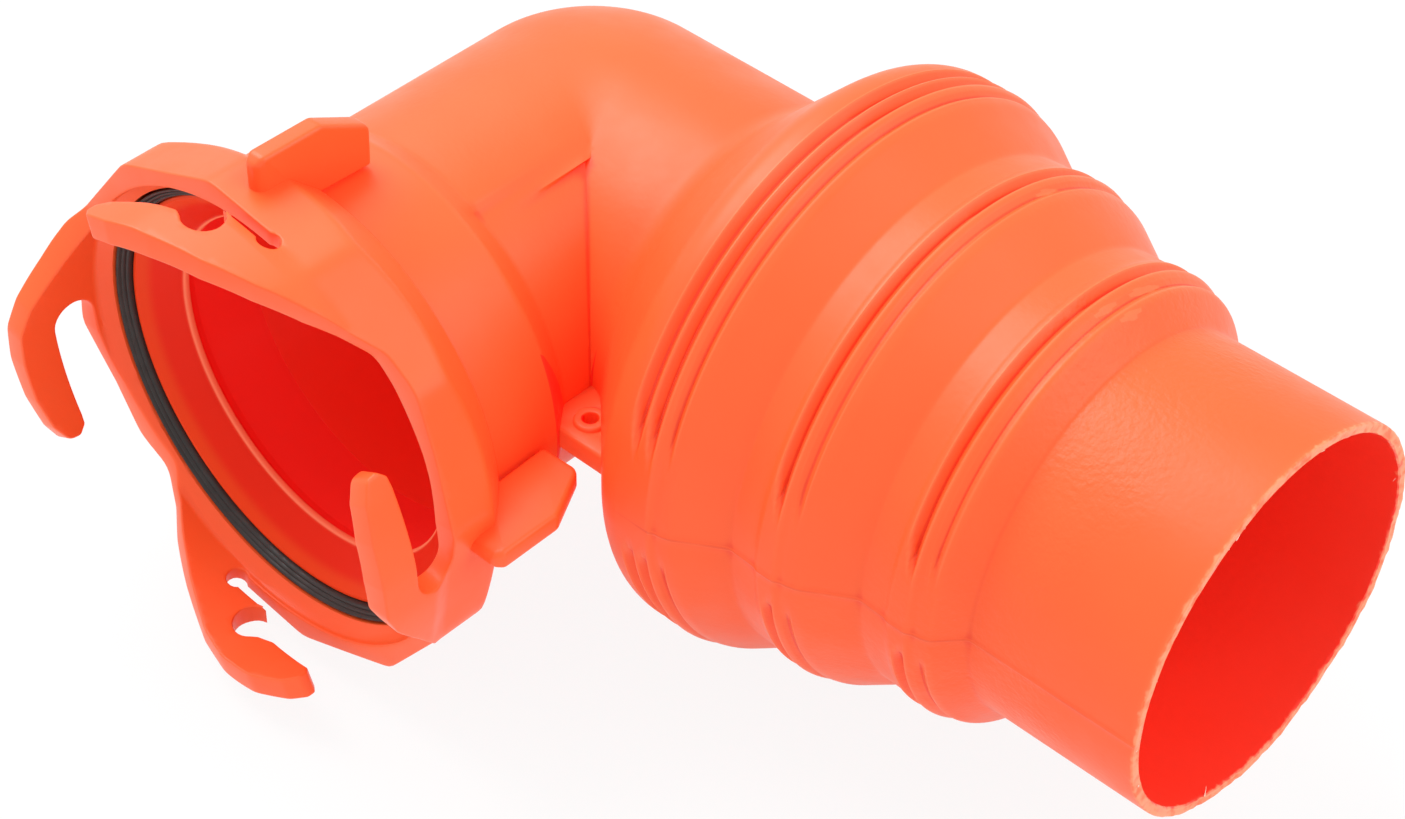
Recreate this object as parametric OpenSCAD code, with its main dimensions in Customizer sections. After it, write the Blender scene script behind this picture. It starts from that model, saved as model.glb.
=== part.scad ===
// Right-angle sewer hose adapter: a blow moulded elbow with a hollow, three-step
// threaded nozzle, a welded-in flange ring that seats a rubber seal, and a
// bayonet collar that turns freely behind that flange.
//
// Frame: the origin is the centre of the seal's face. The bayonet opens along -Y,
// the nozzle runs along +X at y = seal_to_axis, and Z is up.
// Stations called *_at are distances along the nozzle from the elbow's corner,
// where the two tube axes cross. Sizes called *_depth lie behind the seal's face
// and sizes called *_reach lie in front of it.

/* [Elbow tube] */
// Outer diameter of the tube through the bend
tube_od = 76.8; // [74:0.1:79]
// Wall of the blow moulded body
wall = 2.1; // [1.6:0.1:2.6]
// Radius of the bend, on the tube's axis
bend_r = 4; // [2:0.5:20]
// From the seal's face to the nozzle's axis
seal_to_axis = 81.3; // [80.5:0.1:95]

/* [Shoulder and steps] */
// Crest diameter of the first step, for 4 inch hose
step1_od = 114.3; // [113:0.1:116]
// Crest diameter of the second step, for 3 1/2 inch hose
step2_od = 101.6; // [100:0.1:103]
// Crest diameter of the third step, for 3 inch hose
step3_od = 88.9; // [87:0.1:91]
// First crest of the first step
step1_at = 62.4; // [62:0.1:66]
// First crest of the second step
step2_at = 89.8; // [88.5:0.1:91]
// First crest of the third step
step3_at = 113.8; // [112.5:0.1:115]
// Where the first step's cone ends
cone1_end_at = 82.8; // [81.5:0.1:84]
// Where the second step's cone ends
cone2_end_at = 106.7; // [105.5:0.1:108]
// Where the third step's cone ends
cone3_end_at = 125.9; // [124.5:0.1:128]
// Radius of the shoulder's two rounds
shoulder_round = 8; // [6:0.5:9]
// Height that a plain land lies below its step's crests
land_drop = 0.6; // [0.3:0.1:1]

/* [Hose threads] */
// Thread crests on the first step
step1_crests = 3; // [2:1:3]
// Thread crests on each of the other two steps
step_crests = 2; // [1:1:2]
// Pitch of the hose thread, 8 to the inch
thread_pitch = 3.175; // [2.8:0.025:3.4]
// Depth of the hose thread
thread_depth = 1.3; // [0.7:0.1:1.5]
// Width of the flat on a thread's crest
crest_w = 0.9; // [0.5:0.1:1.2]

/* [Slip tail] */
// Outer diameter of the slip tail
tail_od = 76.2; // [74:0.1:78]
// Where the tail is cut off
tail_end_at = 160.7; // [145:0.1:180]

/* [Bell behind the collar] */
// Step from the tube out to the bell, on the radius
bell_step = 3.6; // [3.4:0.05:3.8]
// Length of the bell at its full diameter
bell_len = 23.7; // [23:0.1:25]
// Length over which the tube widens into the bell
bell_taper = 5.5; // [4:0.1:7]

/* [Corner web] */
// Thickness of the web in the inner corner
web_t = 4; // [3:0.5:6]
// Free edge of the web from the nozzle's axis
web_edge = 50.6; // [49.5:0.1:51.5]
// Diameter of the lanyard eye
eye_d = 3; // [2:0.1:3.6]
// Diameter of the raised ring round the eye
eye_ring_d = 6; // [5.2:0.1:7]
// Height of that ring above the web
eye_ring_h = 0.8; // [0.4:0.1:1.5]
// Eye's centre from the nozzle's axis
eye_y = 45.2; // [44.6:0.1:46]
// Eye's centre from the bayonet's axis
eye_x = 44.2; // [43.6:0.1:45]

/* [Flange ring] */
// Height of the flange above the bell, on the radius
flange_h = 2.6; // [2.2:0.1:2.7]
// Thickness of the flange
flange_t = 3; // [2:0.1:4]
// Depth of the flange's front, which is the seal's seat
seat_depth = 3.8; // [3.4:0.1:4.2]
// Thickness of the skirt welded into the bell
skirt_t = 2.25; // [1.8:0.05:2.6]
// Length of the skirt inside the bell
skirt_len = 18.5; // [12:0.5:20]
// Width of the seat between the flange's rim and the lip
seat_w = 2.4; // [2.2:0.1:2.6]
// Height of that lip above the seat
lip_h = 1.3; // [0.6:0.1:1.6]
// Width of that lip's flat top
lip_w = 0.8; // [0.4:0.1:1.5]
// Height of the bead inside the throat
bead_h = 2.8; // [2.2:0.1:3.6]
// Radius of the bead's round
bead_round = 1; // [0.6:0.1:1.2]
// Depth of the bead
bead_depth = 9.4; // [8.6:0.1:11]

/* [Seal] */
// How far the seal stays inside the flange's rim, on the radius
seal_inset = 0.1; // [0.05:0.05:0.3]
// Fall of the seal's face from its outer to its inner edge
seal_fall = 1.6; // [1:0.1:1.9]
// Radius of each sealing ridge
ridge_r = 0.35; // [0.2:0.05:0.35]
// Number of sealing ridges
ridges = 3; // [2:1:3]

/* [Collar] */
// Step from the collar's bore out to the claws' bore, on the radius
claw_step = 2; // [1.6:0.1:2.4]
// Length of the cone that leads from the claws to the seal
lead_in = 2.6; // [1:0.1:3.2]
// Thickness of the claws, from their bore to the corners of the twelve sides
claw_t = 4.9; // [4.6:0.1:6]
// Rim of the collar in front of the seal's face
rim_reach = 3.7; // [3.4:0.1:5]
// Depth where the outside starts to taper
taper_depth = 5; // [3:0.1:5.5]
// Depth of the collar's back edge
collar_depth = 13.8; // [12:0.1:15]
// Thickness of the collar's back edge round the bell
collar_back_t = 1.6; // [1.2:0.1:3]

/* [Plain claws] */
// Front edge of the plain claws in front of the seal's face
plain_reach = 20.5; // [19:0.1:22]
// Width of the plain claws' slot
slot_w = 8.8; // [7:0.1:9]
// Half length of a plain claw along the rim
plain_half = 24; // [22:0.5:26]

/* [Notched claws] */
// Front edge of the notched claws in front of the seal's face
notched_reach = 22.2; // [21.4:0.1:23.5]
// Reach of a notched claw's tip along the rim
notched_tip = 18.4; // [17.5:0.1:20]
// Root of a notched claw along the rim
notched_root = 30.2; // [28:0.1:32]
// Radius of the notch that a lug snaps into
notch_r = 3.8; // [3:0.1:4]
// Width of the spring slit behind the notch
slit_w = 3.6; // [3:0.1:4]
// Diameter of the round end of the slit
slit_end_d = 4.2; // [4.1:0.1:5]
// Length of the slit from the notch's centre to its round end
slit_len = 10.4; // [8:0.1:12]

/* [Grip fins] */
// Thickness of a fin
fin_t = 4; // [3:0.1:5]
// How far the fins stay below the first step's crests, on the radius
fin_drop = 0.15; // [0:0.05:2]
// Depth of a fin's back edge
fin_back_depth = 25.9; // [22:0.1:26.3]
// Depth of a fin's front edge
fin_front_depth = 1; // [0:0.1:2]

/* [Clearances] */
// Gap between the collar and the bell, on the radius
turn_gap = 0.3; // [0.2:0.05:0.4]
// Gap between the collar's lip and the flange's back
end_gap = 0.3; // [0.2:0.05:0.5]
// Gap of the welded skirt in the bell, on the radius
weld_gap = 0.05; // [0.02:0.01:0.1]
// Gap between the seal and the lip inside it, on the radius
seal_gap = 0.1; // [0.05:0.05:0.15]

/* [Hidden] */
$fn = 96;

tube_r = tube_od / 2;
bell_od = tube_od + 2 * bell_step;
flange_od = bell_od + 2 * flange_h;
lip_od = flange_od - 2 * seat_w;
seal_od = flange_od - 2 * seal_inset;
skirt_id = bell_od - 2 * (wall + weld_gap + skirt_t);
bead_id = skirt_id - 2 * bead_h;
// The collar goes round the flange and the bell
collar_id = flange_od + 2 * turn_gap;
claw_id = collar_id + 2 * claw_step;
collar_od = claw_id + 2 * claw_t;
collar_back_od = bell_od + 2 * (turn_gap + collar_back_t);
// The piece lies on its lowest fin and its first step
fin_od = step1_od - 2 * fin_drop;
bell_r = bell_od / 2;
bell_ir = bell_r - wall;
tail_r = tail_od / 2;
lip_r = lip_od / 2;
step1_r = step1_od / 2;
step2_r = step2_od / 2;
step3_r = step3_od / 2;
flange_back = seat_depth + flange_t;
collar_lip = flange_back + end_gap;
bell_back = flange_back + bell_len;
// Run of the shoulder's 45 degree cone, with a round at each end
shoulder_end = step1_at - crest_w / 2;
shoulder_start = shoulder_end - (step1_r - tube_r) - shoulder_round * (2 * sqrt(2) - 2);
shoulder_foot = shoulder_start + shoulder_round * tan(22.5);
// Length and fall of the low round between the last thread and its cone
nose_len = 1.9;
nose_fall = 1.6;
// Length of the round where a land rises into its first thread
rise_len = 1;
// Corners of the collar's outside, and the first one's angle from the +X fin
sides = 12;
first_corner = 6.7;
// Longer than any cut that passes right through
past = 200;

// Stands children on the bayonet's axis: height 0 is the seal's face and height
// grows towards the opening.
module on_bayonet() {
    rotate([90, 0, 0]) children();
}

// Stands children on the nozzle's axis: height 0 is the elbow's corner and height
// grows towards the tail.
module on_nozzle() {
    translate([0, seal_to_axis, 0]) rotate([0, 90, 0]) children();
}

// Arc of points about (r, h), from angle a0 to a1.
function arc(r, h, radius, a0, a1, n) = [
    for (i = [0 : n])
        let (a = a0 + (a1 - a0) * i / n)
            [r + radius * cos(a), h + radius * sin(a)]
];

// Thread crests of radius r, the first at station at, with a root after each.
function threads(at, r, crests) = [
    for (k = [0 : crests - 1])
        let (x = at + k * thread_pitch)
            each [
                [r, x - crest_w / 2],
                [r, x + crest_w / 2],
                [r - thread_depth, x + 0.42 * thread_pitch],
                [r - thread_depth, x + 0.58 * thread_pitch]
            ]
];

// Low round behind the last root, where the step's cone begins.
function nose(at, r, crests) =
    let (x = at + crests * thread_pitch)
        [
            [r - 0.6 * nose_fall, x - 0.2],
            [r - 0.6 * nose_fall, x + 0.6 * nose_len],
            [r - nose_fall, x + nose_len]
        ];

function nose_end(at, r, crests) = [r - nose_fall, at + crests * thread_pitch + nose_len];

// Land between a cone and the next step's first crest.
function land(cone_end, at, r) = [
    [r - land_drop, cone_end],
    [r - land_drop, at - crest_w / 2 - rise_len]
];

// Station where the inner side of the wall under the cone a-b has radius r.
function inner_at(a, b, r) =
    let (s = (b.x - a.x) / (b.y - a.y))
        a.y + (r - a.x + wall * sqrt(1 + s * s)) / s;

// Bore of a step, a wall below the roots of its thread.
function bore(r) = r - thread_depth - wall;

nose1 = nose_end(step1_at, step1_r, step1_crests);
nose2 = nose_end(step2_at, step2_r, step_crests);
nose3 = nose_end(step3_at, step3_r, step_crests);
foot1 = [step2_r - land_drop, cone1_end_at];
foot2 = [step3_r - land_drop, cone2_end_at];
foot3 = [tail_r, cone3_end_at];
shoulder_a = [tube_r, shoulder_foot];
shoulder_b = [tube_r + 1, shoulder_foot + 1];

// Outside of the nozzle, from the bend to the cut tail.
nozzle_outside = concat(
    [[0, bend_r], [tube_r, bend_r]],
    arc(tube_r + shoulder_round, shoulder_start, shoulder_round, 180, 135, 4),
    arc(step1_r - shoulder_round, shoulder_end, shoulder_round, -45, -6, 4),
    threads(step1_at, step1_r, step1_crests),
    nose(step1_at, step1_r, step1_crests),
    land(cone1_end_at, step2_at, step2_r),
    threads(step2_at, step2_r, step_crests),
    nose(step2_at, step2_r, step_crests),
    land(cone2_end_at, step3_at, step3_r),
    threads(step3_at, step3_r, step_crests),
    nose(step3_at, step3_r, step_crests),
    [foot3, [tail_r, tail_end_at], [0, tail_end_at]]
);

// Inside of the nozzle: it follows the outside's steps and cones, not the threads.
nozzle_inside = [
    [0, bend_r],
    [tube_r - wall, bend_r],
    [tube_r - wall, inner_at(shoulder_a, shoulder_b, tube_r - wall)],
    [bore(step1_r), inner_at(shoulder_a, shoulder_b, bore(step1_r))],
    [bore(step1_r), inner_at(nose1, foot1, bore(step1_r))],
    [bore(step2_r), inner_at(nose1, foot1, bore(step2_r))],
    [bore(step2_r), inner_at(nose2, foot2, bore(step2_r))],
    [bore(step3_r), inner_at(nose2, foot2, bore(step3_r))],
    [bore(step3_r), inner_at(nose3, foot3, bore(step3_r))],
    [tail_r - wall, inner_at(nose3, foot3, tail_r - wall)],
    [tail_r - wall, tail_end_at + 1],
    [0, tail_end_at + 1]
];

// Quarter bend of radius r. Where it would pass its own centre it is cut off,
// which leaves the straight tubes to meet in the inner corner's crease.
module bend(r) {
    translate([bend_r, seal_to_axis - bend_r, 0])
        rotate([0, 0, 90])
            rotate_extrude(angle = 90)
                intersection() {
                    translate([bend_r, 0]) circle(r);
                    translate([0, -r]) square([bend_r + r, 2 * r]);
                }
}

// Flat web on the mould's parting plane, with the lanyard eye's raised ring.
module web() {
    translate([0, seal_to_axis, 0]) {
        translate([0, 0, -web_t / 2])
            linear_extrude(web_t)
                polygon([
                    [tube_r - wall, -tube_r + wall],
                    [tube_r - wall, -web_edge],
                    [shoulder_foot + web_edge - tube_r + 1, -web_edge],
                    [shoulder_foot + 4, -tube_r + wall]
                ]);
        translate([eye_x, -eye_y, -web_t / 2 - eye_ring_h])
            cylinder(d = eye_ring_d, h = web_t + 2 * eye_ring_h);
    }
}

// Blow moulded elbow, bell, web and stepped nozzle: one hollow piece.
module elbow_nozzle() {
    color("orangered") difference() {
        union() {
            bend(tube_r);
            on_nozzle() rotate_extrude() polygon(nozzle_outside);
            on_bayonet() rotate_extrude() polygon([
                [0, bend_r - seal_to_axis],
                [tube_r, bend_r - seal_to_axis],
                [tube_r, -bell_back - bell_taper],
                [bell_r, -bell_back],
                [bell_r, -flange_back],
                [0, -flange_back]
            ]);
            web();
        }
        bend(tube_r - wall);
        on_nozzle() rotate_extrude() polygon(nozzle_inside);
        on_bayonet() rotate_extrude() polygon([
            [0, bend_r - seal_to_axis],
            [tube_r - wall, bend_r - seal_to_axis],
            [tube_r - wall, -bell_back - bell_taper + 0.5],
            [bell_ir, -bell_back + 0.5],
            [bell_ir, 1 - flange_back],
            [0, 1 - flange_back]
        ]);
        translate([eye_x, seal_to_axis - eye_y, -web_t / 2 - eye_ring_h - 1])
            cylinder(d = eye_d, h = web_t + 2 * eye_ring_h + 2);
    }
}

// Flange ring: its skirt is welded into the bell, its flange traps the collar,
// and its face leads in to a rounded bead.
module flange_ring() {
    bead_mid = bead_id / 2 + bead_round;
    color("orangered") on_bayonet() rotate_extrude() polygon(concat(
        [
            [skirt_id / 2, -flange_back - skirt_len],
            [bell_ir - weld_gap, -flange_back - skirt_len],
            [bell_ir - weld_gap, -flange_back],
            [flange_od / 2, -flange_back],
            [flange_od / 2, -seat_depth],
            [lip_r, -seat_depth],
            [lip_r, lip_h - seat_depth],
            [lip_r - lip_w, lip_h - seat_depth]
        ],
        arc(bead_mid, -bead_depth, bead_round, 135, 225, 6),
        [[skirt_id / 2, -bead_depth - 3.5 * bead_round]]
    ));
}

// Rubber seal on the flange, round the lip, with rings of sealing ridges.
module seal() {
    inner = lip_r + seal_gap;
    span = seal_od / 2 - inner;
    top = seat_depth - ridge_r;
    color("black") on_bayonet() translate([0, 0, -seat_depth]) rotate_extrude() union() {
        polygon([
            [inner, 0],
            [inner + span, 0],
            [inner + span, top],
            [inner + span * (1 - 0.5 / ridges), top],
            [inner + span * 0.5 / ridges, top - seal_fall],
            [inner, top - seal_fall]
        ]);
        for (k = [0 : ridges - 1])
            translate([
                inner + span * (k + 0.5) / ridges,
                top - seal_fall * (ridges - 1 - k) / (ridges - 1)
            ]) circle(ridge_r);
    }
}

// Stands a flat outline up on the collar's side: its x runs round the rim and
// its y is the reach in front of the seal's face.
module on_rim(angle) {
    rotate([0, 0, angle]) rotate([90, 0, 90]) linear_extrude(collar_od) children();
}

// Plain claw: a hook with a round-ended slot.
module plain_claw() {
    f = plain_reach;
    h = plain_half;
    slot_end = 0.07 * h;
    difference() {
        polygon([
            [1 - h, -1],
            [1 - h, rim_reach],
            [-0.77 * h, rim_reach + 3.6],
            [-0.55 * h, f - 8.4],
            [-0.29 * h, f - 3.1],
            [-0.12 * h, f - 0.6],
            [0.1 * h, f],
            [0.58 * h, f - 0.2],
            [h - 3.6, f - 1.3],
            [h - 0.6, f - 3.2],
            [h, f - 5],
            [h - 0.8, f - 6.8],
            [h - 2.6, rim_reach + slot_w],
            [h - 2.6, -1]
        ]);
        translate([slot_end, rim_reach + slot_w / 2]) circle(slot_w / 2);
        translate([slot_end, rim_reach]) square([2 * h, slot_w]);
    }
}

// Notched claw: a snap notch over the lug, and a keyhole slit that lets it spring.
module notched_claw() {
    f = notched_reach;
    tip = notched_tip;
    notch_at = rim_reach + 6.5;
    difference() {
        polygon([
            [-notched_root, -1],
            [-notched_root, rim_reach + 1.2],
            [5 - notched_root, rim_reach + 5.6],
            [13.2 - notched_root, f - 7.8],
            [22 - notched_root, f - 4.2],
            [2.2, f - 1.7],
            [11, f],
            [tip - 2, f],
            [tip - 0.4, f - 0.7],
            [tip, f - 1.8],
            [tip - 0.3, f - 4],
            [tip - 1.7, f - 5.2],
            [tip - 1.7, -1]
        ]);
        polygon([
            [-slit_len, rim_reach],
            [2 * tip, rim_reach],
            [2 * tip, f - 5.2],
            [tip - 1.7, f - 5.2],
            [tip - 5.6, f - 6.9],
            [5.6, f - 8.9],
            [3, notch_at + 1.8],
            [-1, notch_at],
            [-3, rim_reach + slit_w],
            [-slit_len, rim_reach + slit_w]
        ]);
        translate([-0.4, notch_at]) circle(notch_r);
        translate([-slit_len, rim_reach + slit_w / 2]) circle(d = slit_end_d);
    }
}

// Grip fin: a plate that stands out from the collar and reaches back over the bell.
module fin() {
    r = fin_od / 2;
    root = claw_id / 2 + 1.5;
    rotate([90, 0, 0]) translate([0, 0, -fin_t / 2]) linear_extrude(fin_t)
        polygon([
            [bell_r, -fin_back_depth],
            [r - 7.4, -fin_back_depth],
            [r - 5, -fin_back_depth + 1.3],
            [r - 0.4, -fin_back_depth + 9.9],
            [r, -fin_back_depth + 11.2],
            [r, -fin_front_depth - 3],
            [r - 1.6, -fin_front_depth],
            [root, -fin_front_depth],
            [root, -taper_depth - 2],
            [bell_r, -collar_depth + 1]
        ]);
}

// Bayonet collar: twelve-sided outside, four claws and four grip fins.
module bayonet_collar() {
    color("orangered") on_bayonet() difference() {
        union() {
            intersection() {
                rotate_extrude() polygon([
                    [0, -collar_depth],
                    [collar_back_od / 2, -collar_depth],
                    [collar_od / 2 + 1, -taper_depth],
                    [collar_od / 2 + 1, rim_reach],
                    [0, rim_reach]
                ]);
                translate([0, 0, -past / 2])
                    rotate([0, 0, first_corner])
                        cylinder(d = collar_od, h = past, $fn = sides);
            }
            intersection() {
                for (side = [0, 180]) {
                    on_rim(side) plain_claw();
                    on_rim(side + 90) notched_claw();
                }
                translate([0, 0, 1]) cylinder(d = collar_od - 0.4, h = past);
            }
            for (angle = [0 : 90 : 270]) rotate([0, 0, angle]) fin();
        }
        rotate_extrude() polygon([
            [0, -past],
            [bell_r + turn_gap, -past],
            [bell_r + turn_gap, -collar_lip],
            [collar_id / 2, -collar_lip],
            [collar_id / 2, rim_reach - 1.1 - lead_in],
            [claw_id / 2, rim_reach - 1.1],
            [claw_id / 2, past],
            [0, past]
        ]);
    }
}

elbow_nozzle();
flange_ring();
seal();
bayonet_collar();
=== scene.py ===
import math

import bpy
import numpy as np
from mathutils import Matrix, Vector


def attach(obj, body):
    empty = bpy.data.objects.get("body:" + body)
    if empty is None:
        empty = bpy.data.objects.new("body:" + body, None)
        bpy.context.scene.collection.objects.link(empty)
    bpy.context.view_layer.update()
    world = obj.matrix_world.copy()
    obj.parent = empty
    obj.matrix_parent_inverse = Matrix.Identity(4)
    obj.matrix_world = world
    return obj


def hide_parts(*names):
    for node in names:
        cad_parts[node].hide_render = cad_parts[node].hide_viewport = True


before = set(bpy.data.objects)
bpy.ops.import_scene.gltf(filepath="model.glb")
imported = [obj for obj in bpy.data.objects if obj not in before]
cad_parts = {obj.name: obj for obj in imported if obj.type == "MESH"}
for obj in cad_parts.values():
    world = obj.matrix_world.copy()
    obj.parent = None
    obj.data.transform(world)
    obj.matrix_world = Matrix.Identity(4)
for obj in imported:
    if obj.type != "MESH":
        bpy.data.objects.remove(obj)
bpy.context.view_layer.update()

# Sizes below are in millimetres. The bayonet opens along -Y with its seal's face at
# the origin, and the nozzle runs along +X from the corner, 81.3 mm behind that face.
MM = 0.001
CORNER = 81.3
# The tube's outer and bore radii, and the first step's radius over its crests.
TUBE_R = 38.4
BORE_R = 36.3
STEP_R = 57.15
# The bell's outer and bore radii, and its mouth's distance from the corner.
BELL_R = 42.0
BELL_BORE_R = 39.9
MOUTH = 74.5
# Stations of the shoulder's foot, the first crest and the tail's cut edge.
FOOT = 36.4
CREST = 61.95
CUT = 160.45


def only(obj):
    """Makes obj the active object and the only one selected."""
    bpy.ops.object.select_all(action="DESELECT")
    obj.select_set(True)
    bpy.context.view_layer.objects.active = obj


def edit(obj):
    """Opens obj for editing with its whole mesh selected."""
    only(obj)
    bpy.ops.object.mode_set(mode="EDIT")
    bpy.ops.mesh.select_all(action="SELECT")


def close(obj, merge=1e-6):
    """Closes the open mesh's seams, turns its faces outwards and leaves edit mode."""
    bpy.ops.mesh.remove_doubles(threshold=merge)
    bpy.ops.mesh.normals_make_consistent(inside=False)
    bpy.ops.object.mode_set(mode="OBJECT")


def cut(point, normal, clear=False):
    """Cuts the open mesh along a plane, and may clear what lies beyond it."""
    bpy.ops.mesh.select_all(action="SELECT")
    bpy.ops.mesh.bisect(plane_co=point, plane_no=normal, clear_outer=clear)


def smooth(obj, degrees):
    """Shades obj smooth, except across edges sharper than the angle."""
    only(obj)
    bpy.ops.object.shade_smooth_by_angle(angle=math.radians(degrees))


def join(parts, name):
    """Joins the parts into the first of them."""
    bpy.ops.object.select_all(action="DESELECT")
    for part in parts:
        part.select_set(True)
    bpy.context.view_layer.objects.active = parts[0]
    bpy.ops.object.join()
    parts[0].name = name
    return parts[0]


def skin(name, rows):
    """A grid whose rows are closed rings of points and whose last row meets the first."""
    rows = np.asarray(rows, float)
    rows = np.concatenate([rows, rows[:1]], 0)
    rows = np.concatenate([rows, rows[:, :1]], 1)
    high, wide = rows.shape[:2]
    bpy.ops.object.select_all(action="DESELECT")
    bpy.ops.mesh.primitive_grid_add(x_subdivisions=wide - 1, y_subdivisions=high - 1)
    obj = bpy.context.object
    obj.name = name
    obj.data.vertices.foreach_set("co", (rows * MM).ravel())
    edit(obj)
    close(obj)
    return obj


def rounded(corners, n=4):
    """Points of a closed polygon whose corners (x, y, radius) are rounded."""
    out = []
    count = len(corners)
    for i, (x, y, r) in enumerate(corners):
        if r == 0:
            out.append((x, y))
            continue
        p = Vector((x, y))
        a = Vector(corners[i - 1][:2]) - p
        b = Vector(corners[(i + 1) % count][:2]) - p
        half = a.angle(b) / 2
        back = min(r / math.tan(half), 0.49 * a.length, 0.49 * b.length)
        r = back * math.tan(half)
        a.normalize()
        b.normalize()
        mid = p + (a + b).normalized() * (r / math.sin(half))
        v0 = p + a * back - mid
        v1 = p + b * back - mid
        turn = v0.angle_signed(v1, 0)
        for k in range(n + 1):
            v = v0.copy()
            v.rotate(Matrix.Rotation(-turn * k / n, 2))
            out.append(tuple(mid + v))
    return out


def lathe(name, profile, steps=180):
    """Turns a closed profile of (radius, reach) about the bayonet's axis."""
    turn = np.linspace(0, 2 * math.pi, steps, endpoint=False)
    rows = [
        np.stack([r * np.cos(turn), np.full(steps, -v), r * np.sin(turn)], 1)
        for r, v in profile
    ]
    return skin(name, rows)


def as_mesh(name, curve):
    """The curve as a mesh object."""
    obj = bpy.data.objects.new(name, curve)
    bpy.context.collection.objects.link(obj)
    only(obj)
    bpy.ops.object.convert(target="MESH")
    return bpy.context.object


def plate(name, loops, thickness, edge):
    """A flat plate in XY, with its outline's edges rounded."""
    curve = bpy.data.curves.new(name, "CURVE")
    curve.dimensions = "2D"
    curve.fill_mode = "BOTH"
    curve.extrude = (thickness / 2 - edge) * MM
    curve.bevel_depth = edge * MM
    curve.bevel_resolution = 2
    curve.offset = -edge * MM
    for loop in loops:
        line = curve.splines.new("POLY")
        line.points.add(len(loop) - 1)
        for point, (x, y) in zip(line.points, loop):
            point.co = (x * MM, y * MM, 0, 1)
        line.use_cyclic_u = True
    obj = as_mesh(name, curve)
    edit(obj)
    close(obj, 2e-6)
    return obj


def place(obj, matrix):
    """Moves the mesh itself, so that the object stays at the origin."""
    obj.data.transform(matrix)
    obj.data.update()
    return obj


def ramp(x, a, b):
    """0 before a, 1 after b, and a smooth rise between them."""
    t = np.clip((np.asarray(x, float) - a) / (b - a), 0, 1)
    return t * t * (3 - 2 * t)


class Shader:
    """A material's Principled shader, with short ways to feed its sockets."""

    def __init__(self, name):
        self.material = bpy.data.materials.new(name)
        self.material.use_nodes = True
        self.tree = self.material.node_tree
        self.main = self.tree.nodes["Principled BSDF"]
        self.where = self.node("ShaderNodeTexCoord").outputs["Object"]

    def node(self, kind, **values):
        made = self.tree.nodes.new(kind)
        for key, value in values.items():
            if hasattr(made, key):
                setattr(made, key, value)
            else:
                self.put(made.inputs[key.replace("_", " ").title()], value)
        return made

    def put(self, socket, value):
        if isinstance(value, bpy.types.NodeSocket):
            self.tree.links.new(value, socket)
        else:
            socket.default_value = value

    def set(self, **values):
        for key, value in values.items():
            socket = key.replace("_", " ").title().replace("Ior", "IOR")
            self.put(self.main.inputs[socket], value)

    def noise(self, scale, detail=3.0, rough=0.5):
        """Noise from 0 to 1, scale waves to the metre."""
        made = self.node("ShaderNodeTexNoise", Scale=scale, Detail=detail, Roughness=rough)
        self.put(made.inputs["Vector"], self.where)
        return made.outputs["Fac"]

    def span(self, value, a, b, c, d):
        """Takes values from a to b smoothly to values from c to d."""
        made = self.node("ShaderNodeMapRange")
        made.interpolation_type = "SMOOTHSTEP"
        for socket, v in zip(list(made.inputs)[:5], (value, a, b, c, d)):
            self.put(socket, v)
        return made.outputs["Result"]

    def math(self, operation, a, b=0.0):
        made = self.node("ShaderNodeMath", operation=operation)
        self.put(made.inputs[0], a)
        self.put(made.inputs[1], b)
        return made.outputs[0]

    def times(self, *values):
        out = values[0]
        for value in values[1:]:
            out = self.math("MULTIPLY", out, value)
        return out

    def mix(self, factor, a, b):
        made = self.node("ShaderNodeMix", data_type="RGBA")
        self.put(made.inputs[0], factor)
        self.put(made.inputs[6], a)
        self.put(made.inputs[7], b)
        return made.outputs[2]

    def axis(self, name):
        made = self.node("ShaderNodeSeparateXYZ")
        self.put(made.inputs[0], self.where)
        return made.outputs[name]

    def bump(self, height, strength, distance):
        made = self.node("ShaderNodeBump", Strength=strength, Distance=distance)
        self.put(made.inputs["Height"], height)
        return made.outputs["Normal"]

    def wear(self, obj):
        """Gives obj this material alone."""
        obj.data.materials.clear()
        obj.data.materials.append(self.material)


# --- Elbow and nozzle ---
# One hollow blow moulding: a bell for the collar, a tight elbow, a round shoulder and
# three threaded steps down to a plain slip tail with a saw-cut edge. It is glossy
# orange plastic about 2 mm thick, split in two halves by the mould along z = 0.

# Columns of the skin: angles round the tube, 0 towards the inner corner. They crowd
# together at the mould's parting line.
columns = list(np.arange(-180, 180, 2.0))
for side in (-180, 0):
    columns += [side + a for a in (-0.65, -0.3, 0.3, 0.65)]
columns = np.radians(sorted((a + 180) % 360 - 180 for a in columns))
cos_c, sin_c, deg_c = np.cos(columns), np.sin(columns), np.degrees(columns)

# Nozzle's outline without the thread's grooves, as (station, radius).
outline = [(CREST, STEP_R), (69.6, STEP_R), (70.5, 56.45), (72.0, 56.25), (73.7, 55.7)]
outline += [(82.8, 50.05), (83.4, 50.1), (88.5, 50.35), (89.4, 50.8), (93.2, 50.8)]
outline += [(94.1, 50.2), (95.6, 49.95), (97.6, 49.35), (106.7, 43.75), (107.3, 43.8)]
outline += [(112.4, 44.0), (113.3, 44.45), (117.4, 44.45), (118.3, 43.8)]
outline += [(119.9, 43.55), (121.5, 43.0), (125.9, 38.15), (127.0, 38.1), (170.0, 38.1)]
# Grooves of the thread, as (station, half width, depth).
grooves = [(64.15, 1.55, 1.75), (67.5, 1.5, 1.75), (71.2, 1.0, 0.7)]
grooves += [(91.3, 1.4, 1.6), (95.0, 1.1, 0.65), (115.4, 1.4, 1.6), (119.5, 1.1, 0.65)]


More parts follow.
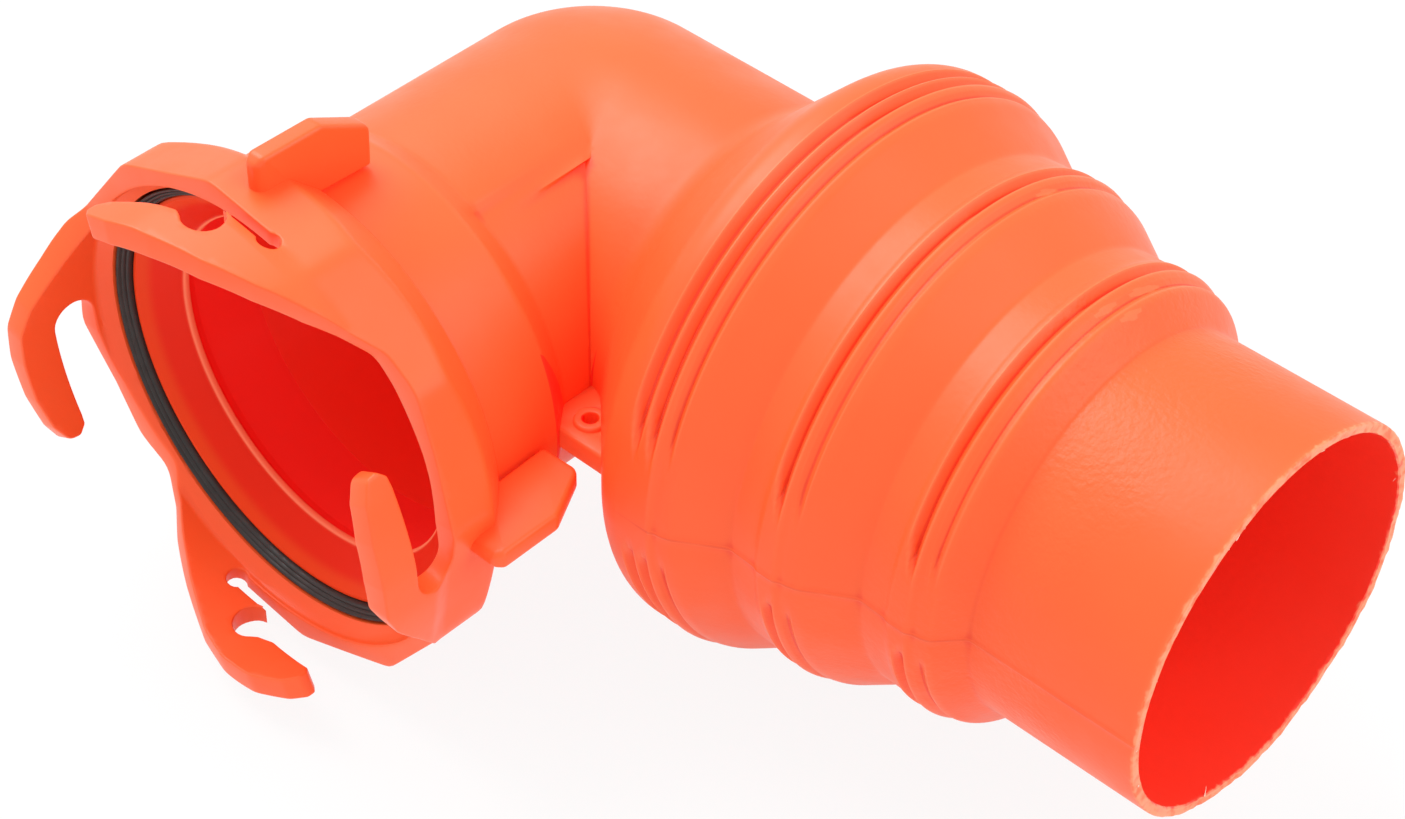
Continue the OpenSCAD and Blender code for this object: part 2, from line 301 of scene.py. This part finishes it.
def shoulder(x):
    """The tube, a fillet, a 45 degree cone and the round up to the first crest."""
    fillet, fillet_from, cone_from, round_from = 8.0, 36.57, 42.23, 56.29
    x = np.asarray(x, float)
    fall = np.sqrt(np.maximum(fillet**2 - (x - fillet_from) ** 2, 0))
    r = np.where(x < fillet_from, TUBE_R, TUBE_R + fillet - fall)
    r = np.where(x > cone_from, x - 1.49, r)
    fall = np.sqrt(np.maximum(fillet**2 - (CREST - x) ** 2, 0))
    return np.where(x > round_from, STEP_R - fillet + fall, r)


def hull(x):
    """Radius of the nozzle with its corners softened and its grooves filled."""
    x = np.asarray(x, float)
    total = 0
    shifts = np.linspace(-0.5, 0.5, 9)
    for shift in shifts:
        steps = np.interp(x + shift, [p[0] for p in outline], [p[1] for p in outline])
        total = total + np.where(x + shift < CREST, shoulder(x + shift), steps)
    return total / len(shifts)


def nozzle_radius(x):
    """Outer radius at station x for every column."""
    x = np.broadcast_to(x, deg_c.shape)
    r = hull(x).copy()
    # Each groove ends short of the parting line, slanting to a point.
    for at, half, depth in grooves:
        u = np.clip((x - at) / half, -1, 1)
        near = np.where(np.abs(deg_c) < 90, deg_c, (deg_c + 360) % 360 - 180)
        above = ramp(near, 17 - 5 * u, 22 - 5 * u)
        below = ramp(-near, 6.5 - 2 * u, 12.5 - 2 * u)
        r -= depth * (1 - np.abs(u)) ** 0.9 * np.maximum(above, 1.15 * below)
    # The parting line stands up as a hair-thin ridge from the first step to the tail.
    off = np.minimum(np.abs(deg_c), 180 - np.abs(deg_c)) * r * math.pi / 180
    r += 0.2 * np.clip(1.2 - off / 0.45, 0, 1) * ramp(x, 62, 66) * (r < 57)
    return np.minimum(r, STEP_R)


def leg_point(d, r, turn):
    """Points on the inlet's leg, d from the corner, turned from the inner corner."""
    return np.stack([r * np.cos(turn), CORNER - d + 0 * r, r * np.sin(turn)], -1)


def nozzle_point(x, r):
    """Points on the nozzle at station x, one for every column."""
    return np.stack([x + 0 * r, CORNER - r * cos_c, r * sin_c], -1)


def elbow_rows(tube, relief, bell, bell_from, bell_to):
    """Rings from the bell's mouth, through the bend, up to the foot of the shoulder.
    The inner corner is a crease where the two straight tubes meet, and the rest sweeps
    round. The tube's inner side is lower by relief. Also gives where each column turns."""
    crease_from, sweep = 18, 0.56
    lowered = tube - relief * ramp(66 - np.abs(deg_c), 0, 2.5)
    z = tube * sin_c
    cross_x = np.sqrt(np.maximum(lowered**2 - np.minimum(np.abs(z), lowered) ** 2, 0))
    creased = (tube * cos_c > crease_from) & (cross_x > crease_from)
    turn_r = sweep * np.maximum(crease_from - tube * cos_c, 0)
    cross_d = np.where(creased, tube * cos_c, tube * cos_c + turn_r)
    cross_x = np.where(creased, cross_x, tube * cos_c + turn_r)
    end_turn = np.where(creased, np.arctan2(z, cross_x), columns)
    end_r = np.where(creased, lowered, tube)
    rows = []
    stations = [MOUTH, MOUTH - 0.3, MOUTH - 1]
    stations += list(np.linspace(MOUTH - 4, bell_to + 2, 7))
    stations += list(np.linspace(bell_to + 1.2, bell_from - 1.2, 24))
    for d in stations:
        near = d + np.linspace(-0.7, 0.7, 9)
        wide = np.mean(np.clip((near - bell_from) / (bell_to - bell_from), 0, 1))
        rows.append(leg_point(d, lowered + (bell - lowered) * wide, columns))
    start = stations[-1]
    for t in np.linspace(0, 1, 16)[1:]:
        r = lowered + (end_r - lowered) * t
        d = start + (cross_d - start) * t
        rows.append(leg_point(d, r, columns + (end_turn - columns) * t))
    crease = rows[-1]
    for beta in np.radians(np.linspace(0, 90, 26)[1:-1]):
        x = tube * cos_c + turn_r * (1 - math.cos(beta))
        d = tube * cos_c + turn_r * (1 - math.sin(beta))
        ring = np.stack([x, CORNER - d, z], -1)
        rows.append(np.where(creased[:, None], crease, ring))
    return rows, cross_x


outer, cross = elbow_rows(TUBE_R, 0.8, BELL_R, 45.3, 50.8)
for t in np.linspace(0, 1, 12):
    x = np.maximum(cross + (FOOT - cross) * t, cross)
    outer.append(nozzle_point(x, hull(x)))
# Rings crowd where the outline turns and in the thread, as (from, to, step).
spacing = [(36.9, 61.6, 0.75), (61.6, 74.4, 0.24), (74.6, 82.2, 0.9), (82.4, 83.8, 0.3)]
spacing += [(84.4, 88.2, 0.9), (88.4, 98.2, 0.24), (98.6, 106, 0.9), (106.2, 107.8, 0.3)]
spacing += [(108.4, 112.2, 0.9), (112.3, 122.2, 0.24), (122.6, 125.4, 0.7)]
spacing += [(125.5, 127.2, 0.3), (128, 159.6, 2.2)]
for x in (x for stretch in spacing for x in np.arange(*stretch)):
    x = np.maximum(x, cross)
    outer.append(nozzle_point(x, nozzle_radius(x)))
# The tail's cut edge wanders a little, as a saw leaves it.
rough = 0.12 * np.sin(7 * columns + 1) + 0.07 * np.sin(23 * columns)
rough = rough + 0.06 * np.sin(61 * columns + 2)
rough += 0.05 * np.sin(97 * columns)
tail = nozzle_radius(159.9)
for inset, r in ((0.55, tail), (0.25, tail - 0.04), (0.04, tail - 0.22), (0, tail - 0.6)):
    outer.append(nozzle_point(CUT + rough - inset, r))
for inset, r in ((0.02, 36.9 + rough), (0, 36.35 + rough), (0.25, 36.08), (0.7, 36.05)):
    outer.append(nozzle_point(CUT - 0.05 + 0.7 * rough - inset, r + 0 * columns))
# The inside follows the outside, about 2 mm below it.
inner, cross = elbow_rows(BORE_R, 0, BELL_BORE_R, 56.7, 56.9)
for t in np.linspace(0, 1, 6):
    inner.append(nozzle_point(cross + (FOOT - cross) * t, BORE_R + 0 * cross))
slope_at = np.arange(36.9, 159, 1.5)
wall_r = hull(slope_at)
wall_r = wall_r - 2.15 * np.sqrt(1 + np.gradient(wall_r, slope_at) ** 2)
wall_r = np.convolve(np.pad(wall_r, 1, mode="edge"), np.ones(3) / 3, mode="valid")
for x, r in zip(slope_at, np.clip(wall_r, 36.05, 60)):
    x = np.maximum(x, cross)
    inner.append(nozzle_point(x, r + 0 * x))
elbow = skin("elbow", outer + inner[::-1])

# Web in the inner corner, moulded with the body: a flat tab on the parting line with
# a rounded free edge, and a lanyard eye inside a low raised ring.
EYE_X, EYE_Y, EYE_R = 44.2, -45.2, 1.5
eye = [
    (EYE_X + EYE_R * math.cos(a), EYE_Y + EYE_R * math.sin(a))
    for a in np.linspace(0, 2 * math.pi, 25)[:-1]
]
tab = rounded(
    [(37, -37, 0), (37, -50.6, 0), (53.2, -50.6, 0), (53.2, -47, 0), (41, -37, 0)]
)
web = place(plate("web", [tab, eye], 4.8, 0.8), Matrix.Translation((0, 0, -0.4 * MM)))
rim = [(EYE_R, -2.8, 0.3), (3.05, -2.8, 0.5), (3.3, -1.6, 0.3)]
rim += [(3.3, 1.6, 0.3), (3.05, 2.8, 0.5), (EYE_R, 2.8, 0.3)]
boss = place(lathe("boss", rounded(rim), 40), Matrix.Rotation(math.radians(90), 4, "X"))
place(boss, Matrix.Translation((EYE_X * MM, EYE_Y * MM, 0)))
web = place(join([web, boss], "web"), Matrix.Translation((0, CORNER * MM, 0)))

# Burrs the saw left on the tail's edge: hair-thin pale curls of the same plastic, as
# (degrees round the edge, radius of the root, length, lean).
burrs = []
curls = [(62, 36.2, 3.4, 0.8), (66, 36.3, 2.2, -0.6), (59, 36.3, 2.6, 0.3)]
curls += [(150, 37.4, 1.8, 0.5), (163, 37.2, 2.6, 0.9), (-70, 36.2, 2.0, -0.7)]
curls += [(20, 36.4, 1.4, 0.4), (-20, 37.0, 1.6, -0.5), (-3, 37.2, 3.0, 0.8)]
curls += [(2, 36.8, 2.4, -0.9), (5, 37.0, 1.8, 0.5), (112, 36.4, 1.4, 0.6)]
curls += [(100, 36.3, 1.8, -0.4)]
for degrees, r, length, lean in curls:
    turn = math.radians(degrees)
    line = []
    for t in np.linspace(0, 1, 7):
        a = turn + lean * t * t * length / 36
        rr = r - 0.55 * length * t
        line.append((160.3 - 0.9 * t * t, CORNER - rr * math.cos(a), rr * math.sin(a)))
    curve = bpy.data.curves.new("burr", "CURVE")
    curve.dimensions = "3D"
    curve.bevel_depth = 0.11 * MM
    curve.bevel_resolution = 1
    spline = curve.splines.new("POLY")
    spline.points.add(len(line) - 1)
    for i, (point, p) in enumerate(zip(spline.points, line)):
        point.co = (p[0] * MM, p[1] * MM, p[2] * MM, 1)
        point.radius = 1.5 - 0.2 * i
    burrs.append(as_mesh("burr", curve))
burrs = join(burrs, "burrs")

plastic = Shader("orange moulding")
along = plastic.axis("X")
far = plastic.math("SUBTRACT", plastic.axis("Y"), CORNER * MM)
on_tail = plastic.span(along, 0.080, 0.132, 0.18, 1.0)
pebble = plastic.times(plastic.noise(800, 2.0), on_tail)
# The grain is patchy, and fades out before the cut end.
patchy = plastic.span(plastic.noise(26, 1.0), 0.42, 0.58, 0.3, 1.0)
patchy = plastic.times(patchy, plastic.span(along, 0.138, 0.150, 1.0, 0.3))
pebble = plastic.times(pebble, patchy)
# Faces that look towards the tube's axis are inside it, where a deeper red is painted as shade and
# red bounce light within the tubes.
normal = plastic.node("ShaderNodeNewGeometry").outputs["Normal"]
facing = plastic.node("ShaderNodeSeparateXYZ")
plastic.put(facing.inputs[0], normal)
in_nozzle = plastic.math("GREATER_THAN", along, 0.038)
behind = plastic.math("MAXIMUM", in_nozzle, plastic.math("GREATER_THAN", far, 0.0))
in_leg = plastic.math("SUBTRACT", 1.0, in_nozzle)
outward = plastic.times(plastic.axis("Z"), facing.outputs["Z"])
for term in (
    plastic.times(along, facing.outputs["X"], in_leg),
    plastic.times(far, facing.outputs["Y"], behind),
):
    outward = plastic.math("ADD", outward, term)
inside = plastic.math("LESS_THAN", outward, -0.004)
# Painted shade and highlight: valleys are painted a deeper red as shade, and crests a little paler
# as a highlight.
point = plastic.node("ShaderNodeNewGeometry").outputs["Pointiness"]
painted_valley_shade = plastic.span(point, 0.495, 0.468, 0.0, 0.65)
painted_crest_highlight = plastic.span(point, 0.505, 0.535, 0.0, 0.45)
colour = plastic.mix(
    plastic.noise(38, 4.0), (0.96, 0.104, 0.021, 1), (0.99, 0.126, 0.029, 1)
)
colour = plastic.mix(painted_valley_shade, colour, (0.86, 0.034, 0.010, 1))
colour = plastic.mix(painted_crest_highlight, colour, (1.0, 0.20, 0.07, 1))
# The parting line reads as a fine dark thread along the nozzle.
seam = plastic.span(plastic.math("ABSOLUTE", plastic.axis("Z")), 0.0001, 0.0004, 0.42, 0.0)
seam = plastic.times(seam, plastic.span(plastic.noise(120, 2.0), 0.35, 0.6, 0.35, 1.0))
seam = plastic.times(seam, plastic.span(along, 0.061, 0.064, 0.0, 1.0))
colour = plastic.mix(seam, colour, (0.75, 0.035, 0.01, 1))
# Painted shade: inside faces take a deeper red for the shade and red bounce light within the tubes.
colour = plastic.mix(inside, colour, (0.97, 0.043, 0.020, 1))
# The saw left the tail's edge pale and frayed.
frayed = plastic.math("ADD", along, plastic.times(plastic.noise(500, 3.0), 0.0024))
frayed = plastic.span(frayed, 0.1611, 0.1618, 0.0, 0.65)
colour = plastic.mix(frayed, colour, (0.97, 0.35, 0.18, 1))
# Slow waves run all over the skin, and the relief is fainter inside.
height = plastic.math("ADD", pebble, plastic.times(plastic.noise(55, 2.0), 0.9))
height = plastic.times(height, plastic.span(inside, 0.0, 1.0, 1.0, 0.4))
plastic.set(
    base_color=colour,
    specular_ior_level=0.3,
    roughness=plastic.span(plastic.noise(90, 5.0, 0.6), 0.3, 0.7, 0.38, 0.48),
    normal=plastic.bump(height, 0.6, 0.00035),
    coat_weight=0.06,
    coat_roughness=0.3,
)
pale = Shader("pale burr")
pale.set(
    base_color=pale.mix(pale.noise(900), (1.0, 0.55, 0.4, 1), (1.0, 0.75, 0.62, 1)),
    roughness=pale.span(pale.noise(1200), 0.3, 0.7, 0.4, 0.6),
)
smooth(elbow, 32)
smooth(web, 32)
smooth(burrs, 60)
plastic.wear(elbow)
plastic.wear(web)
pale.wear(burrs)
elbow = join([elbow, web, burrs], "elbow_body")
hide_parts("elbow_nozzle")
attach(elbow, "elbow")

# --- Flange ring ---
# A turned-looking moulded ring welded into the bell: skirt, flange behind the collar,
# a thin lip inside the seal, and a conical throat down to a glossy bead.
hub_profile = rounded(
    [
        (BORE_R, -25.3, 0),
        (39.85, -25.3, 0.3),
        (39.85, -6.8, 0.1),
        (44.6, -6.8, 0.3),
        (44.6, -3.8, 0.3),
        (42.2, -3.8, 0.1),
        (42.2, -2.5, 0.3),
        (41.4, -2.5, 0.35),
        (35.6, -8.4, 0.8),
        (34.8, -8.9, 0.6),
        (34.8, -9.9, 0.6),
        (35.7, -10.4, 0.5),
        (BORE_R, -12.0, 1.0),
    ]
)
hub = lathe("throat_ring", hub_profile, 220)
smooth(hub, 32)
ring_plastic = Shader("orange ring")
depth = ring_plastic.axis("Y")
# The ring's colour is a dark red here, painted as the shade inside the throat.
ring_colour_and_painted_light = ring_plastic.mix(
    ring_plastic.noise(60, 3.0), (0.76, 0.017, 0.003, 1), (0.81, 0.023, 0.004, 1)
)
# From the mouth inwards, light is painted by depth: the lip painted a lighter orange where light
# reaches the mouth, a painted pale highlight along the bead, and a painted deeper red of the shade
# and bounce light behind it, each with the depths between which it comes in, its share and its
# colour.
for start, end, share, painted_light_tint in (
    (0.0052, 0.0034, 0.8, (0.82, 0.062, 0.009, 1)),
    (0.0085, 0.0088, 1.0, (1.0, 0.24, 0.12, 1)),
    (0.0097, 0.0102, 1.0, (1.0, 0.036, 0.026, 1)),
):
    painted_light_zone = ring_plastic.span(depth, start, end, 0.0, share)
    ring_colour_and_painted_light = ring_plastic.mix(painted_light_zone, ring_colour_and_painted_light, painted_light_tint)
ring_plastic.set(
    base_color=ring_colour_and_painted_light,
    specular_ior_level=0.06,
    roughness=ring_plastic.span(ring_plastic.noise(140, 4.0), 0.3, 0.7, 0.40, 0.50),
    normal=ring_plastic.bump(ring_plastic.noise(420, 2.0), 0.12, 0.0001),
    coat_weight=0.1,
    coat_roughness=0.2,
)
ring_plastic.wear(hub)
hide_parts("flange_ring")
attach(hub, "elbow")

# --- Seal ---
# Black moulded rubber in the groove round the lip; its sloping face has three fine
# sealing ridges and is held by its own stretch.
face = [(44.45, -3.75), (44.45, -0.5)]
for t in np.linspace(0, 1, 33):
    ridge = abs(math.sin(3 * math.pi * t)) ** 0.7
    face.append((44.4 - 2.05 * t, -0.42 - 1.75 * t + 0.4 * ridge))
face += [(42.32, -2.3), (42.32, -3.75)]
seal = lathe("seal_ring", face, 220)
smooth(seal, 40)
rubber = Shader("black rubber")
rubber.set(
    base_color=rubber.mix(
        rubber.noise(300, 4.0), (0.012, 0.010, 0.009, 1), (0.028, 0.023, 0.020, 1)
    ),
    roughness=rubber.span(rubber.noise(500, 3.0), 0.3, 0.7, 0.34, 0.5),
    normal=rubber.bump(rubber.noise(1800, 2.0), 0.2, 0.00008),
)
rubber.wear(seal)
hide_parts("seal")
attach(seal, "elbow")

# --- Bayonet collar ---
# One injection moulding that turns on the bell: a ring, two plain claws and two
# notched claws. It is made flat, as if unrolled, and then rolled round the bayonet.
# Lengths round the rim are taken at the radius ROLL.
ROLL = 49.0
THICK = 4.0
RIM_FRONT, RIM_BACK = 3.7, -13.8
# Degrees round the rim: the flat strip's ends, and where it is trimmed to meet itself.
STRIP, TRIM = (-62, 322), (-50, 310)


def rolled(degrees):
    """Length along the flat strip for an angle round the rim."""
    return math.radians(degrees) * ROLL


def arc(x, y, r, a0, a1, n):
    """Corners along a round notch, which need no rounding of their own."""
    return [
        (x + r * math.cos(math.radians(a)), y + r * math.sin(math.radians(a)), 0)
        for a in np.linspace(a0, a1, n)
    ]


# Outlines of the claws and of the rim's dip, as (length, reach, corner radius).
plain = [(-24.6, RIM_FRONT, 4), (-18.8, 7.6, 5), (-13.7, 11.5, 5), (-7.0, 17.4, 5), (-1.7, 20.1, 5)]
plain += [(5.1, 20.5, 6), (13.7, 20.2, 6), (20.5, 18.9, 3), (24.3, 16.9, 2), (24.6, 14.4, 1.2)]
plain += [(23.0, 12.7, 1), (21.0, 12.5, 1)] + arc(1.7, 8.1, 4.4, 90, 270, 16)
dip = [(7, RIM_FRONT, 3), (20, 2.1, 10)]
root = [(-43, 1.4, 10), (-37.5, 1.7, 6), (-30.5, 5.8, 5), (-25.3, 9.4, 5), (-17.1, 14.0, 5)]
upper = root + [(-8.2, 17.8, 9), (2.2, 20.4, 9), (11.1, 22.0, 6), (16.2, 22.0, 1.2)]
upper += [(17.9, 20.6, 1), (17.8, 18.6, 0.8), (15.8, 16.7, 1), (9.2, 13.9, 2), (3.6, 12.3, 1)]
low_root = [(-43, 1.2, 10), (-37.5, 0.7, 8), (-30.5, 4.0, 9), (-25.3, 7.4, 9), (-17.1, 12.0, 9)]
lower = low_root + [(-5.6, 17.8, 9), (2.1, 20.0, 9), (10.7, 20.2, 8), (18.5, 18.2, 4)]
lower += [(21.6, 16.0, 1.2), (21.6, 14.2, 0.8), (20.0, 13.0, 0.8), (13.2, 12.0, 2)]
lower += [(7.1, 11.2, 2), (3.6, 12.0, 1)]
notch = arc(-0.4, 10.2, 3.8, 45, 262, 18) + arc(-10.8, 5.3, 2.1, 35, 310, 14)
front = [(rolled(STRIP[0]), RIM_FRONT, 0)]
claws = (plain + dip, upper + notch, plain + dip, lower + notch)
for centre, claw in zip((0, 90, 180, 270), claws):
    front += [(rolled(centre) + u, v, r) for u, v, r in claw]
front += [(rolled(STRIP[1]), RIM_FRONT, 0)]
rear = [(rolled(STRIP[1]), RIM_BACK, 0), (rolled(STRIP[0]), RIM_BACK, 0)]
collar = plate("collar", [rounded(rear + front)], THICK, 0.38)
# Cuts give the flat strip the rows and columns it needs to bend.
edit(collar)
for degrees in np.arange(TRIM[0] + 1, TRIM[1], 1.5):
    cut((rolled(degrees) * MM, 0, 0), (1, 0, 0))
levels = [-13, -12, -11, -10, -9.2, -8.6, -8, -7.4, -7, -6.6, -6.2, -5.8, -5.2, -4, -2.5, -1]
levels += [0, 1.2, 2.5, 3.2, 4, 5, 6, 7, 8, 9, 10, 11, 12.4, 14, 15.5, 17, 18.5, 20, 21.3]
for height in levels:
    cut((0, height * MM, 0), (0, 1, 0))
for degrees, away in zip(TRIM, (-1, 1)):
    cut((rolled(degrees) * MM, 0, 0), (away, 0, 0), clear=True)
bpy.ops.object.mode_set(mode="OBJECT")
spots = np.empty(len(collar.data.vertices) * 3)
collar.data.vertices.foreach_get("co", spots)
spots = spots.reshape(-1, 3) / MM
turn, reach, depth = spots[:, 0] / ROLL, spots[:, 1], spots[:, 2] / THICK + 0.5
# The bore is stepped: bell, flange and a wider mouth inside the claws.
inside_r = np.interp(
    reach, [RIM_BACK, -7.2, -7.0, 0, 2.6, 30], [42.3, 42.3, 44.9, 44.9, 46.9, 46.9]
)
# The outside has twelve flats with soft corners, is round on the claws and falls in a
# cone at the back. The larger the power, the sharper the corners between two flats.
SIDES, FIRST_FLAT, FLAT_R, POWER = 12, 6.7 + 15, 50.05, 160
facets = sum(
    np.maximum(np.cos(turn - math.radians(FIRST_FLAT + 360 / SIDES * k)), 0) ** POWER
    for k in range(SIDES)
)
outside_r = np.minimum(FLAT_R / facets ** (1 / POWER), 51.8)
outside_r += (52.0 - outside_r) * 0.75 * ramp(reach, 4, 9)
cone_r = 43.9 + (reach - RIM_BACK) * 0.93
outside_r = -np.log(np.exp(-outside_r * 4) + np.exp(-cone_r * 4)) / 4
radius = inside_r + depth * (outside_r - inside_r)
# The claws' front faces slant back a little towards the rim.
reach = reach - 0.3 * depth * ramp(reach, 13, 20)
spots = np.stack([radius * np.cos(turn), -reach, radius * np.sin(turn)], 1) * MM
collar.data.vertices.foreach_set("co", spots.ravel())
edit(collar)
close(collar, 4e-6)

# Four grip fins stand on the collar, moulded with it. Each is a plate with rounded
# edges that reaches back over the bell.
fins = []
FRONT_FROM, FRONT_LONG = -3.2, 2.9
shape = [(42.7, -25.6, 0.8), (51.3, -25.9, 2.4), (56.9, -15.3, 2.5), (57, -2.4, 1.6)]
shape += [(55.8, -0.6, 1.4), (47.4, -0.6, 0), (47.4, -8, 0), (43.2, -13, 0)]
for degrees in (0, 90, 180, 270):
    fin = plate("fin", [rounded(shape, n=6)], 4.0, 0.85)
    edit(fin)
    for height in (-3.2, -2.7, -2.2, -1.8, -1.4, -1.0, -0.8):
        cut((0, height * MM, 0), (0, 1, 0))
    bpy.ops.object.mode_set(mode="OBJECT")
    # Its front end is round across its thickness.
    for vertex in fin.data.vertices:
        past = min(max((vertex.co.y / MM - FRONT_FROM) / FRONT_LONG, 0), 0.95)
        vertex.co.z *= math.sqrt(1 - past * past)
    stand = Matrix.Rotation(math.radians(-degrees), 4, "Y")
    flip = Matrix(((1, 0, 0, 0), (0, -1, 0, 0), (0, 0, -1, 0), (0, 0, 0, 1)))
    fins.append(place(fin, stand @ flip))
for fin in fins:
    smooth(fin, 32)
smooth(collar, 32)
collar = join([collar] + fins, "swivel_collar")
collar_plastic = Shader("orange collar")
collar_plastic.set(
    base_color=collar_plastic.mix(
        collar_plastic.noise(45, 4.0), (0.96, 0.106, 0.022, 1), (0.99, 0.128, 0.030, 1)
    ),
    specular_ior_level=0.3,
    roughness=collar_plastic.span(collar_plastic.noise(110, 5.0, 0.6), 0.3, 0.7, 0.36, 0.45),
    normal=collar_plastic.bump(collar_plastic.noise(160, 2.0), 0.15, 0.00012),
    coat_weight=0.1,
    coat_roughness=0.2,
)
collar_plastic.wear(collar)
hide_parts("bayonet_collar")
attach(collar, "collar")

# --- Floor ---
# A plain white sweep. It looks nearly pure white to the camera, keeps the object's
# soft shadow and throws light back up at the underside.
bpy.ops.mesh.primitive_plane_add(size=6, location=(0, 0, -57.3 * MM))
floor = bpy.context.object
floor.name = "floor"
paper = Shader("white paper")
paper.set(base_color=(0.85, 0.85, 0.85, 1), roughness=0.8)
glow = paper.node("ShaderNodeEmission", Color=(1, 1, 1, 1), Strength=1.0)
seen = paper.node("ShaderNodeLightPath")
either = paper.node("ShaderNodeMixShader")
clean = paper.math("MAXIMUM", seen.outputs["Is Camera Ray"], seen.outputs["Is Glossy Ray"])
clean = paper.math("MAXIMUM", clean, seen.outputs["Is Transmission Ray"])
paper.put(either.inputs[0], paper.times(clean, 0.9))
paper.put(either.inputs[1], paper.main.outputs[0])
paper.put(either.inputs[2], glow.outputs[0])
paper.put(paper.tree.nodes["Material Output"].inputs[0], either.outputs[0])
paper.wear(floor)

# --- Camera ---
# A long lens, up and to the right of the bayonet, with its frame's centre as aim.
az, el, roll = math.radians(42.8036), math.radians(42.6406), math.radians(0.6849)
back = Vector((math.sin(az) * math.cos(el), -math.cos(az) * math.cos(el), math.sin(el)))
level = Vector((math.cos(az), math.sin(az), 0))
rise = back.cross(level)
right = level * math.cos(roll) + rise * math.sin(roll)
up = rise * math.cos(roll) - level * math.sin(roll)
lens = bpy.data.cameras.new("camera")
lens.sensor_width = 36
lens.lens = 80.36
lens.shift_x = -0.0010
lens.shift_y = 0.0026
lens.clip_start = 0.01
camera = bpy.data.objects.new("camera", lens)
bpy.context.collection.objects.link(camera)
stand = Vector((0.33739, -0.25083, 0.38149))
camera.matrix_world = Matrix(
    (
        (right.x, up.x, back.x, stand.x),
        (right.y, up.y, back.y, stand.y),
        (right.z, up.z, back.z, stand.z),
        (0, 0, 0, 1),
    )
)
bpy.context.scene.camera = camera

# --- Light ---
# A broad soft box above and to the left, a smaller one on the right, and an even
# white surround, as in a product studio.


def soft_box(name, aim, side, high, near, size, power):
    """A square lamp that looks at aim from the camera's side, height and nearness."""
    lamp = bpy.data.lights.new(name, "AREA")
    lamp.shape = "SQUARE"
    lamp.size = size
    lamp.energy = power
    obj = bpy.data.objects.new(name, lamp)
    bpy.context.collection.objects.link(obj)
    spot = Vector(aim) + level * side + rise * high + back * near
    obj.location = spot
    obj.rotation_euler = (spot - Vector(aim)).to_track_quat("Z", "Y").to_euler()


soft_box("key", (0.03, 0.05, 0), -0.42, 0.95, 0.3, 0.8, 11)
soft_box("fill", (0.05, 0.05, 0), 0.8, 0.25, 0.6, 0.8, 4)
world = bpy.data.worlds.new("studio")
bpy.context.scene.world = world
world.use_nodes = True
sky = world.node_tree
# The camera sees a pure white backdrop, and all else sees a dimmer surround.
surround = sky.nodes["Background"]
backdrop = sky.nodes.new("ShaderNodeBackground")
for white, strength in ((surround, 0.85), (backdrop, 1.0)):
    white.inputs[0].default_value = (1, 1, 1, 1)
    white.inputs[1].default_value = strength
path = sky.nodes.new("ShaderNodeLightPath")
choice = sky.nodes.new("ShaderNodeMixShader")
sky.links.new(path.outputs["Is Camera Ray"], choice.inputs[0])
sky.links.new(surround.outputs[0], choice.inputs[1])
sky.links.new(backdrop.outputs[0], choice.inputs[2])
sky.links.new(choice.outputs[0], sky.nodes["World Output"].inputs[0])
bpy.context.scene.cycles.diffuse_bounces = 12
bpy.context.scene.view_settings.view_transform = "Standard"
